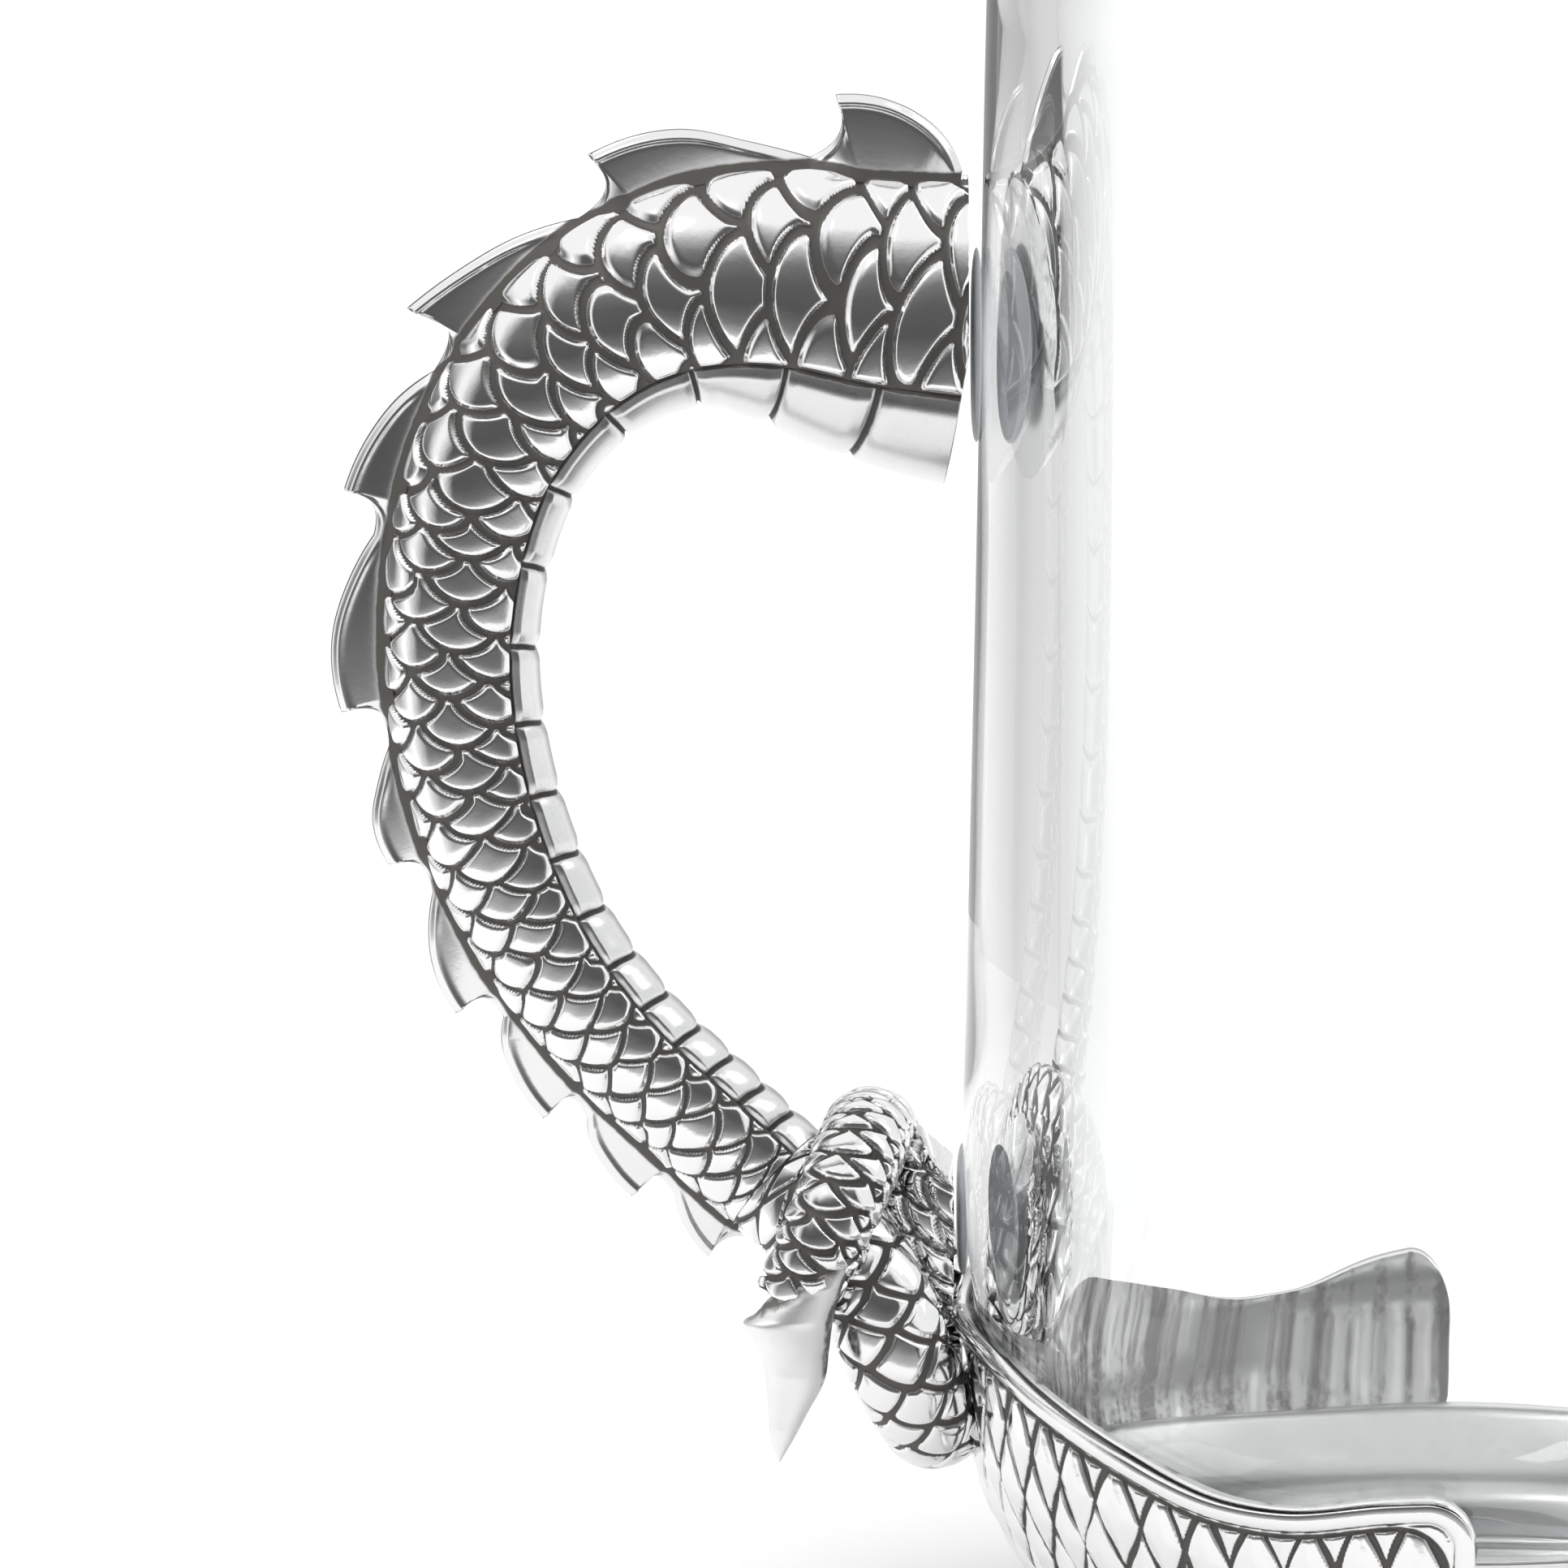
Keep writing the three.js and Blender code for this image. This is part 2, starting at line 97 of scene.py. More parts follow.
# Fins of the crest from the glass to the knot, in the handle's plane as x, z: where each one
# starts, two points of its ridge, its point, and the hollow of the hook behind the point.
FINS = [
    [(-44.3, 134.1), (-45.8, 137.2), (-50.4, 140.4), (-55.4, 141.0), (-55.0, 137.8)],
    [(-57.6, 135.4), (-63.0, 136.8), (-69.0, 137.9), (-77.1, 135.6), (-75.5, 133.2)],
    [(-77.9, 129.9), (-83.4, 128.2), (-88.4, 125.3), (-93.0, 121.8), (-89.6, 120.6)],
    [(-90.6, 116.2), (-93.4, 114.2), (-96.4, 110.4), (-98.6, 105.4), (-96.2, 104.3)],
    [(-96.0, 101.4), (-98.1, 97.6), (-99.7, 92.2), (-98.9, 85.3), (-96.0, 85.6)],
    [(-94.7, 82.3), (-95.7, 79.0), (-96.2, 75.4), (-94.8, 71.5), (-92.4, 71.7)],
    [(-90.9, 69.0), (-91.3, 66.2), (-91.0, 62.4), (-88.9, 57.9), (-86.9, 59.4)],
    [(-84.7, 57.6), (-84.9, 55.4), (-83.8, 52.0), (-81.2, 48.3), (-79.1, 50.3)],
    [(-77.3, 48.3), (-77.2, 46.6), (-75.8, 43.9), (-73.4, 41.2), (-71.4, 43.1)],
    [(-69.6, 41.3), (-69.3, 39.9), (-68.3, 37.7), (-66.6, 35.6), (-64.8, 37.4)],
]
CREST_END = (-62.4, 37.2)

# Round profiles as radius, height.
GLASS_OUTSIDE = [
    (31.0, 5.2), (33.2, 6.0), (34.9, 7.7), (37.4, 12), (40.1, 18.9), (41.7, 25),
    (42.9, 31.4), (43.8, 38), (44.1, 45), (43.8, 60), (43.0, 100), (42.2, 150), (41.9, 162.6),
]
GLASS_RIM = [(41.2, 163.5), (40.1, 164.0), (39.1, 163.7)]
GLASS_INSIDE = [
    (38.3, 162.8), (36.9, 158), (36.3, 148), (35.9, 100), (35.7, 40), (35.5, 24), (34.2, 17),
    (31.2, 13.2), (27.0, 11.6),
]
DISH_OUTSIDE = [(36.9, 4), (36.2, 5.4), (36.5, 7.7), (38.9, 12), (41.6, 18.9), (43.2, 25)]

# The saddle's upper and lower edges as degrees from the handle and height, from the middle
# of the saddle to the end of a nose.
SADDLE_TOP = [
    (0, 31.3), (20, 31.6), (32, 29.4), (46, 26.6), (60, 24.0), (68, 23.8), (80, 25.2), (90.5, 25.6),
]
SADDLE_BOTTOM = [
    (0, 6.0), (30, 7.0), (45, 9.0), (60, 12.0), (75, 15.0), (84, 16.3), (90.5, 16.4),
]
SADDLE_HALF_ANGLE = 90.5
SADDLE_NOSE_SPAN = 6.0
SADDLE_NOSE_Z = 20.9
SADDLE_RADIUS = 42.0
SADDLE_THICK = 1.6
SADDLE_GAP = 0.2
SADDLE_CORNER = 4.4
PANEL_CORNER = 7.0
RIM_WIDTH = 2.5
BEAD_HALF_WIDTH = 1.05
BEAD_HEIGHT = 0.75

DISH_TOP_Z = 19.3
DISH_FLOOR_Z = 4.4
DISH_FOOT = [
    (33.3, 0.3), (38.2, 0.3), (39.1, 0.5), (39.5, 1.1), (39.5, 1.8), (39.1, 2.5), (38.3, 3.1),
    (37.3, 3.5),
]

# The post, from the glass to its free end.
POST_START = (-43.0, 0, 41.2)
POST_STOP = (-56.2, 0, 30.4)
POST_RADII = (8.2, 6.6)
POST_FLATNESS = 0.75
POST_FACE_X = -44.9

# The spade's left and right edges as height and x, seen from the front, and its half
# thickness as height and size.
SPADE_LEFT = [
    (20.9, -60.4), (22.2, -61.0), (25.3, -61.3), (28.6, -61.6), (31.2, -62.2), (32.9, -63.2),
    (33.5, -63.5), (34.2, -62.6), (36.0, -60.9), (38.0, -58.2), (39.4, -55.6),
]
SPADE_RIGHT = [
    (20.9, -60.2), (22.4, -59.3), (25.3, -57.8), (28.3, -56.3), (31.2, -55.9), (34.2, -55.5),
    (37.8, -54.4), (39.4, -53.9),
]
SPADE_THICK = [(20.9, 0.5), (24, 1.5), (29, 2.3), (34, 2.5), (37, 1.9), (39.4, 0.7)]
SPADE_Y = -14.3

# The camera, in metres and degrees.
CAMERA_ELEVATION = 14
CAMERA_DISTANCE = 2.0
CAMERA_AIM = (-0.0599, 0, 0.0788)
CAMERA_LENS = 521


# ---- number helpers -----------------------------------------------------------------------

def smoothstep(low, high, x):
    t = np.clip((x - low) / (high - low), 0.0, 1.0)
    return t * t * (3.0 - 2.0 * t)


def bell(x, width):
    return np.exp(-((x / width) ** 2))


def through(points, steps):
    """Points of a smooth curve through the given ones, `steps` to each span."""
    p = np.asarray(points, float)
    places = np.concatenate(([0.0], np.cumsum(np.linalg.norm(np.diff(p, axis=0), axis=1))))
    slopes = np.gradient(p, places, axis=0, edge_order=2 if len(p) > 2 else 1)
    spans = []
    for i in range(len(p) - 1):
        t = np.linspace(0, 1, steps, endpoint=i == len(p) - 2)[:, None]
        length = places[i + 1] - places[i]
        spans.append((2 * t**3 - 3 * t**2 + 1) * p[i] + (t**3 - 2 * t**2 + t) * length * slopes[i]
                     + (3 * t**2 - 2 * t**3) * p[i + 1] + (t**3 - t**2) * length * slopes[i + 1])
    return np.concatenate(spans)


def smooth_value(points, x):
    """y at each x of a smooth curve through (x, y) points whose x rises."""
    curve = through(points, 14)
    return np.interp(x, curve[:, 0], curve[:, 1])


def drawn_out(values, count):
    """The given values spread evenly over a longer row."""
    return np.interp(np.linspace(0, 1, count), np.linspace(0, 1, len(values)), values)


def hashed(i, j, seed):
    """A repeatable number from 0 to 1 for each pair of whole numbers."""
    mixed = np.sin(i * 127.1 + j * 311.7 + seed * 74.7) * 43758.5453
    return mixed - np.floor(mixed)


def ripple(a, b, seed, count=7):
    """Smooth, repeatable unevenness from -1 to 1 over two coordinates."""
    rng = np.random.default_rng(seed)
    total = 0.0
    for _ in range(count):
        ka, kb, phase = rng.uniform(-1, 1), rng.uniform(-1, 1), rng.uniform(0, 2 * math.pi)
        total = total + np.sin(ka * a + kb * b + phase)
    return total / math.sqrt(count) / 1.5


# ---- mesh helpers -------------------------------------------------------------------------

def new_piece(name, points, faces, material, patina_and_shade=None, flat_faces=0):
    """A mesh in metres that rides on the body, smooth-shaded but for its last flat_faces."""
    mesh = bpy.data.meshes.new(name)
    mesh.from_pydata((np.asarray(points) * MM).tolist(), [], faces)
    is_smooth = np.arange(len(faces)) < len(faces) - flat_faces
    mesh.polygons.foreach_set("use_smooth", is_smooth)
    if patina_and_shade is not None:
        # This attribute holds oxide in the hollows, and painted shade on the upper coil and along the
        # spade's right edge.
        layer = mesh.attributes.new("patina_and_shade", "FLOAT", "POINT")
        layer.data.foreach_set("value", np.asarray(patina_and_shade, np.float32).ravel())
    mesh.materials.append(material)
    mesh.validate()
    obj = bpy.data.objects.new(name, mesh)
    bpy.context.scene.collection.objects.link(obj)
    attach(obj, "root")
    return obj


def grid_faces(rows, columns, wrap):
    """Quads of a grid of points, rows by columns. wrap joins the last column to the first."""
    r = np.arange(rows - 1)[:, None] * columns
    c = np.arange(columns if wrap else columns - 1)[None, :]
    after = (c + 1) % columns
    quads = np.stack([r + c, r + after, r + columns + after, r + columns + c], axis=-1)
    return quads.reshape(-1, 4).tolist()


def tube_piece(name, points, material, patina_and_shade, flip=False):
    """A closed tube from rows of rings. Its ends are closed by fans."""
    rows, columns, _ = points.shape
    flat = points.reshape(-1, 3)
    faces = grid_faces(rows, columns, True)
    ends = [points[0].mean(axis=0), points[-1].mean(axis=0)]
    first, last = rows * columns, rows * columns + 1
    for c in range(columns):
        after = (c + 1) % columns
        faces.append([first, after, c])
        faces.append([last, (rows - 1) * columns + c, (rows - 1) * columns + after])
    if flip:
        faces = [face[::-1] for face in faces]
    dark = np.array(patina_and_shade, float)
    dark[[0, -1]] = dark[[0, -1]].mean(axis=1, keepdims=True)  # an end face is evenly dark
    dark = np.concatenate([dark.ravel(), dark[[0, -1], 0]])
    return new_piece(name, np.vstack([flat, ends]), faces, material, dark, 2 * columns)


def lathe_piece(name, outline, material, segments=256):
    """A solid turned about Z. The outline starts and ends on the axis, going up the outside."""
    profile = np.asarray(outline, float)
    ring = profile[1:-1]
    turn = np.linspace(0, 2 * math.pi, segments, endpoint=False)
    points = np.stack([
        ring[:, 0, None] * np.cos(turn),
        ring[:, 0, None] * np.sin(turn),
        np.broadcast_to(ring[:, 1, None], (len(ring), segments)),
    ], axis=-1)
    flat = np.vstack([points.reshape(-1, 3), [(0, 0, profile[0, 1]), (0, 0, profile[-1, 1])]])
    faces = grid_faces(len(ring), segments, True)
    bottom, top = len(flat) - 2, len(flat) - 1
    start = (len(ring) - 1) * segments
    for c in range(segments):
        after = (c + 1) % segments
        faces.append([bottom, after, c])
        faces.append([top, start + c, start + after])
    return new_piece(name, flat, faces, material)


# ---- materials ----------------------------------------------------------------------------

class Nodes:
    """Short calls for building a material's nodes."""

    def __init__(self, name):
        self.material = bpy.data.materials.new(name)
        self.material.use_nodes = True
        self.tree = self.material.node_tree
        self.shader = self.tree.nodes["Principled BSDF"]

    def node(self, kind, **settings):
        made = self.tree.nodes.new(kind)
        for key, value in settings.items():
            if key in made.inputs:
                made.inputs[key].default_value = value
            else:
                setattr(made, key, value)
        return made

    def link(self, output, target):
        self.tree.links.new(output, target)

    def put(self, socket, value):
        self.shader.inputs[socket].default_value = value

    def noise(self, scale, detail=4.0, roughness=0.55):
        place = self.node("ShaderNodeTexCoord")
        noise = self.node("ShaderNodeTexNoise", Scale=scale, Detail=detail, Roughness=roughness)
        self.link(place.outputs["Object"], noise.inputs["Vector"])
        return noise.outputs["Fac"]

    def ramp(self, value, stops):
        """Maps 0 to 1 onto greys or colours given as (place, colour)."""
        ramp = self.node("ShaderNodeValToRGB")
        elements = ramp.color_ramp.elements
        while len(elements) < len(stops):
            elements.new(0.5)
        for element, (place, colour) in zip(elements, stops):
            element.position = place
            grey = colour if isinstance(colour, tuple) else (colour,) * 3
            element.color = (*grey, 1.0)
        self.link(value, ramp.inputs["Fac"])
        return ramp.outputs["Color"]

    def math(self, operation, a, b, clamp=False):
        made = self.node("ShaderNodeMath", operation=operation, use_clamp=clamp)
        for socket, value in zip(made.inputs, (a, b)):
            if isinstance(value, (int, float)):
                socket.default_value = value
            else:
                self.link(value, socket)
        return made.outputs[0]

    def bump(self, height, strength, distance):
        bump = self.node("ShaderNodeBump", Strength=strength, Distance=distance)
        self.link(height, bump.inputs["Height"])
        self.link(bump.outputs["Normal"], self.shader.inputs["Normal"])


def pewter_material(name, shine, clean, dark, wear):
    """Cast pewter, whose roughness starts at shine.

    The attribute it reads takes it from clean to dark and dulls it, and wear makes the
    dark's edge ragged. That attribute holds real oxide in the hollows, and also painted
    shade over the upper coil's scales and along the spade's right edge.
    """
    n = Nodes(name)
    patina_and_shade = n.node("ShaderNodeAttribute", attribute_name="patina_and_shade").outputs["Fac"]
    ragged = n.math("MULTIPLY", n.math("SUBTRACT", n.noise(900.0, 5.0), 0.5), wear)
    level = n.math("ADD", patina_and_shade, ragged, clamp=True)
    colour = n.ramp(level, [(0.30, clean), (0.62, dark)])
    n.link(colour, n.shader.inputs["Base Color"])
    smudge = n.math("MULTIPLY", n.noise(260.0, 6.0, 0.65), 0.09)
    rough = n.math("ADD", n.math("MULTIPLY", level, 0.42), smudge)
    n.link(n.math("ADD", rough, shine), n.shader.inputs["Roughness"])
    n.link(n.ramp(level, [(0.34, 1.0), (0.66, 0.25)]), n.shader.inputs["Metallic"])
    n.bump(n.noise(1500.0, 5.0, 0.6), 0.10, 0.00012)
    return n.material


def glass_material():
    n = Nodes("clear_glass")
    n.put("Base Color", (0.985, 0.992, 0.99, 1))
    n.put("Transmission Weight", 1.0)
    n.put("Roughness", 0.0)
    n.put("IOR", 1.5)
    n.bump(n.noise(28.0, 2.0, 0.5), 0.05, 0.0008)
    return n.material


def resin_material():
    """Bonding resin that has gone milky."""
    n = Nodes("milky_resin")
    n.put("Base Color", (0.60, 0.63, 0.66, 1))
    n.put("Transmission Weight", 0.25)
    n.put("Roughness", 0.22)
    n.put("IOR", 1.48)
    n.bump(n.noise(220.0, 4.0, 0.6), 0.35, 0.0008)
    return n.material


def felt_material():
    n = Nodes("dark_felt")
    fibres = n.noise(2400.0, 8.0, 0.7)
    n.link(n.ramp(fibres, [(0.3, 0.012), (0.7, 0.05)]), n.shader.inputs["Base Color"])
    n.put("Roughness", 0.95)
    n.put("Sheen Weight", 0.4)
    n.bump(fibres, 0.7, 0.0005)
    return n.material


# The dark below is the oxide in the grooves, and also the painted shade over the upper coil's scales.
GRIME_AND_SHADE = (0.082, 0.076, 0.070)  # the dark oxide in the grooves
PALE_GRIME = (0.20, 0.19, 0.18)
# The grey below is also the painted shade along the spade's right edge.
GREY_GRIME_AND_SHADE = (0.15, 0.145, 0.135)

# The scales and the saddle's face, the fins, the belly strip, the base, and the spade with
# the saddle's inner face.
POLISHED = pewter_material("polished_pewter", shine=0.05, clean=0.86, dark=GRIME_AND_SHADE, wear=0.5)
SMOOTH = pewter_material("smooth_pewter", shine=0.10, clean=0.80, dark=GRIME_AND_SHADE, wear=0.35)
BRUSHED = pewter_material("brushed_pewter", shine=0.20, clean=0.76, dark=GRIME_AND_SHADE, wear=0.4)
SATIN = pewter_material("satin_pewter", shine=0.34, clean=0.80, dark=PALE_GRIME, wear=0.4)
FROSTED = pewter_material("frosted_pewter", shine=0.42, clean=0.92, dark=GREY_GRIME_AND_SHADE, wear=0.9)
GLASS = glass_material()
RESIN = resin_material()
FELT = felt_material()


# ---- the tail's path ----------------------------------------------------------------------

class TailPath:
    """The centre line with its section sizes and axes, looked up by length from the glass."""

    def __init__(self, stations, steps=60):
        data = np.asarray(stations, float)
        curve = through(data[:, :3], steps)
        spans = len(stations) - 1
        places = np.linspace(0, spans, len(curve))
        self.points = curve
        self.sizes = np.stack([
            np.interp(places, np.arange(spans + 1), data[:, k]) for k in (3, 4, 5)
        ], axis=1)
        self._round_sizes(reach=12)
        steps_along = np.linalg.norm(np.diff(curve, axis=0), axis=1)
        self.length = np.concatenate(([0.0], np.cumsum(steps_along)))
        self.at_station = [self.length[min(i * steps, len(curve) - 1)] for i in range(spans + 1)]
        self.tangents = np.gradient(curve, self.length, axis=0)
        self.tangents /= np.linalg.norm(self.tangents, axis=1)[:, None]
        self.out = self._carried(np.array([0.0, 0.0, 1.0]))
        self.side = np.cross(self.tangents, self.out)

    def _round_sizes(self, reach):
        """Rounds the corners of the straight lines between the stations' sizes."""
        kernel = np.ones(2 * reach + 1) / (2 * reach + 1)
        for _ in range(3):
            wide = np.pad(self.sizes, ((reach, reach), (0, 0)), mode="edge")
            self.sizes = np.stack(
                [np.convolve(wide[:, k], kernel, mode="valid") for k in range(3)], axis=1)

    def _carried(self, start):
        """The outward axis, carried along the curve without twisting about it."""
        axis, carried = start, []
        for tangent in self.tangents:
            axis = axis - tangent * axis.dot(tangent)
            axis = axis / np.linalg.norm(axis)
            carried.append(axis)
        return np.array(carried)

    def look(self, values, s):
        return np.stack([np.interp(s, self.length, values[:, k]) for k in range(values.shape[1])], -1)

    def nearest(self, x, z, limit):
        """The length along the path nearest to a point of the handle's plane."""
        near = self.length <= limit
        gap = np.hypot(self.points[near, 0] - x, self.points[near, 2] - z)
        return self.length[near][gap.argmin()]


def around_path(s, across, out):
    """Points beside the tail's centre line, at distances across and out from it."""
    return (PATH.look(PATH.points, s)[:, None, :]
            + PATH.look(PATH.side, s)[:, None, :] * across[..., None]
            + PATH.look(PATH.out, s)[:, None, :] * out[..., None])


def cut_at_glass(points):
    """Ends the tail on a flat face just short of the glass."""
    points[..., 0] = np.minimum(points[..., 0], TAIL_END_X)
    return points


PATH = TailPath(ARCH + COIL)
ARCH_END = PATH.at_station[len(ARCH) - 1]
COIL_SPLIT = PATH.at_station[len(ARCH) - 1 + LOWER_COIL_STATIONS]
ARCH_SPAN = (0.02, ARCH_END - 0.15)


# ---- scales -------------------------------------------------------------------------------

# How far a scale strays from its place and its even size, as shares of the pitch.
STRAY_ALONG = 0.14
STRAY_ACROSS = 0.16
SKEW = 0.30
LEAST_SIZE = 0.95
SIZE_RANGE = 0.12

# How far a scale reaches from its middle, as shares of the pitch.
REACH_COVERED = 0.52
REACH_FREE = 0.66
REACH_ACROSS = 0.86

# How much a scale's face rises to its covered end, and how much that and its roll vary.
RISE = 0.30
RISE_RANGE = 0.55
ROLL_RANGE = 0.40


def scale_relief(rows, columns, seed, roundness, groove, dome, around=1000):
    """Height from 0, in the grooves, to about 1, over rows of overlapping scales.

    rows counts scales along the tail and columns counts them across it. Neighbouring
    columns are offset by half a scale. The scales are laid from the far end of the tail
    to the glass, so one nearer the glass lies over the next. around is the number of
    columns after which the pattern repeats.
    """
    height = np.zeros(np.broadcast(rows, columns).shape)
    half_row = np.floor(2 * rows)
    groove_start = 1.0 + groove * 0.6
    groove_end = 1.0 + groove * 1.2
    for step in (2, 1, 0, -1, -2):
        level = half_row + step
        odd = np.mod(level, 2)
        column = 2 * np.round((columns - 0.5 - odd) / 2) + odd
        same = np.mod(column, around)
        along = rows - level / 2 - (hashed(level, same, seed) - 0.5) * STRAY_ALONG
        across = columns - 0.5 - column - (hashed(level, same, seed + 3) - 0.5) * STRAY_ACROSS
        along = along + (hashed(level, same, seed + 9) - 0.5) * SKEW * across
        size = LEAST_SIZE + hashed(level, same, seed + 7) * SIZE_RANGE
        reach_along = np.where(along > 0, REACH_COVERED, REACH_FREE) * size
        reach_across = REACH_ACROSS * size
        rho = (np.abs(along / reach_along) ** roundness
               + np.abs(across / reach_across) ** roundness) ** (1 / roundness)
        tip = (hashed(level, same, seed + 5) - 0.4) * RISE_RANGE
        roll = (hashed(level, same, seed + 6) - 0.5) * ROLL_RANGE
        face = 1 - dome * rho**3 + (RISE + tip) * along + roll * across
        bevel = 0.86 - 0.22 * hashed(level, same, seed + 8) + 0.05 * np.sign(across) * across
        inside = face * smoothstep(1.0, bevel, rho)
        past = smoothstep(groove_start, groove_end, rho)
        shadow = (rho < groove_end) & (along > -0.10)
        height = np.where(rho < 1.0, inside, np.where(shadow, height * past, height))
    return height


def rows_along(s, pitch):
    """A count that rises by one for each pitch of length."""
    steps = np.diff(s) / ((pitch[1:] + pitch[:-1]) / 2)
    return np.concatenate(([0.0], np.cumsum(steps)))


# ---- the arch -----------------------------------------------------------------------------

# Length of one scale, and scales from the crest to the belly strip, by share of the arch.
SCALE_PITCH = [(0, 5.6), (0.25, 5.0), (0.5, 4.3), (0.75, 3.9), (1, 3.6)]
SCALES_PER_SIDE = [(0, 3.3), (0.3, 4.0)]

# Depth of the grooves near the glass and near the knot.
SCALE_DEPTHS = (0.62, 0.45)

# Added to the column numbers of the far side, so that its scales differ from the near side's.
OTHER_SIDE = 20


def chord_angle(sizes):
    """Angle from the crest to the groove between the scales and the belly strip."""
    high, belly = sizes[:, 0], sizes[:, 2]
    return np.arccos(np.clip(-(high - belly) / high, -1, 1))


def tail_arch_scales():
    """The scaled back of the arch: an arc of scales closed underneath by a flat face."""
    rows, arc, under = 760, 190, 12
    s = np.linspace(*ARCH_SPAN, rows)
    sizes = PATH.look(PATH.sizes, s)
    edge = chord_angle(sizes)
    share = np.linspace(-1, 1, arc)
    angle = share[None, :] * edge[:, None]
    pitch = np.interp(s / ARCH_END, *zip(*SCALE_PITCH))
    count = rows_along(s, pitch)[:, None] + 0.25 + 0 * angle
    lower = smoothstep(0.55, 0.85, s / ARCH_END)[:, None]
    per_side = np.interp(s / ARCH_END, *zip(*SCALES_PER_SIDE))[:, None]
    columns = np.abs(angle) / edge[:, None] * per_side + np.where(angle < 0, OTHER_SIDE, 0)
    count = count + 0.13 * ripple(count * 0.9, columns * 1.6, 51)
    columns = columns + 0.13 * ripple(count * 1.5, columns * 0.8, 53)
    relief = scale_relief(count, columns, 5, 1.75 - 0.4 * lower, 0.20 - 0.05 * lower, 0.50)
    near_edge = smoothstep(1.0, 0.955, np.abs(share))[None, :]
    near_crest = smoothstep(0.05, 0.10, np.abs(share))[None, :]
    depth = SCALE_DEPTHS[0] + (SCALE_DEPTHS[1] - SCALE_DEPTHS[0]) * lower
    relief = relief * near_edge * near_crest
    lift = (relief - 1.0) * depth + 0.12
    dark = 1 - smoothstep(0.04, 0.30, relief)
    high, wide = sizes[:, 0, None], sizes[:, 1, None]
    across = (wide + lift) * np.sin(angle)
    out = (high + lift) * np.cos(angle)
    flat = np.linspace(1, -1, under + 2)[1:-1][None, :]
    across = np.hstack([across, flat * across[:, -1:]])
    out = np.hstack([out, np.repeat(out[:, -1:], under, axis=1)])
    dark = np.hstack([dark, np.ones((rows, under))])
    points = cut_at_glass(around_path(s, across, out))
    piece = tube_piece("tail_arch_scales", points, POLISHED, dark)
    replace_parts(piece, "tail_arch")


# Lengths of the belly plates along the tail's middle line, from the glass to the knot.
PLATE_LENGTHS = [
    7.5, 8.5, 11.0, 11.0, 10.3, 8.6, 8.4, 7.9, 7.3, 6.5, 6.2, 5.7, 5.1, 4.6, 4.1, 3.8, 3.6,
]
PLATE_GROOVE_WIDTH = 0.30
PLATE_GROOVE_DEPTH = 0.42


def belly_plate_strip():
    """The smooth strip on the finger side, cut into plates by narrow grooves."""
    rows, arc, under = 900, 60, 8
    s = np.linspace(*ARCH_SPAN, rows)
    sizes = PATH.look(PATH.sizes, s)
    edge = chord_angle(sizes)
    share = np.linspace(0, 1, arc)
    angle = edge[:, None] + share[None, :] * (2 * math.pi - 2 * edge[:, None])
    marks = np.cumsum(PLATE_LENGTHS)
    curved = s[:, None] + 0.5 * np.cos(share * math.pi * 2)[None, :]
    to_mark = np.min(np.abs(curved[..., None] - marks), axis=-1)
    groove = bell(to_mark, PLATE_GROOVE_WIDTH)
    sides = smoothstep(0.0, 0.05, share) * smoothstep(1.0, 0.95, share)
    crown = 0.22 * smoothstep(0.1, 1.6, to_mark)
    lift = (sides[None, :] - 1.0) * 0.55 - groove * PLATE_GROOVE_DEPTH + crown - 0.12
    dark = np.maximum(groove * 1.1, 1 - smoothstep(0.0, 0.4, sides)[None, :])
    high, wide = sizes[:, 0, None], sizes[:, 1, None]
    across = (wide + lift) * np.sin(angle)
    out = (high + lift) * np.cos(angle)
    flat = np.linspace(1, -1, under + 2)[1:-1][None, :]
    middle = (across[:, -1:] + across[:, :1]) / 2
    half = (across[:, -1:] - across[:, :1]) / 2
    across = np.hstack([across, middle + flat * half])
    out = np.hstack([out, np.repeat(out[:, -1:], under, axis=1)])
    dark = np.hstack([dark, np.ones((rows, under))])
    points = cut_at_glass(around_path(s, across, out))
    piece = tube_piece("belly_plate_strip", points, BRUSHED, dark)
    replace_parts(piece, "belly_plates")


# ---- the crest ----------------------------------------------------------------------------

def crest_edge():
    """The crest's outer edge in the handle's plane, and where each of its points is rooted."""
    edge, roots = [], []
    ends = [fin[0] for fin in FINS[1:]] + [CREST_END]
    for fin, end in zip(FINS, ends):
        ridge = through(fin[:4], 22)
        hook = through([fin[3], fin[4], end], 12)[1:-1]
        outline = np.vstack([ridge, hook])
        start = PATH.nearest(*fin[0], ARCH_END)
        stop = PATH.nearest(*end, ARCH_END)
        edge.append(outline)
        roots.append(np.linspace(start, stop, len(outline), endpoint=False))
    edge.append(np.array([CREST_END]))
    roots.append(np.array([PATH.nearest(*CREST_END, ARCH_END)]))
    return np.vstack(edge), np.concatenate(roots)


# How deep the crest is sunk into the arch, and its half thickness at its foot and above it.
FIN_ROOT_DEPTH = 0.9
FIN_FOOT_HALF = 1.9
FIN_BLADE_HALF = 0.36


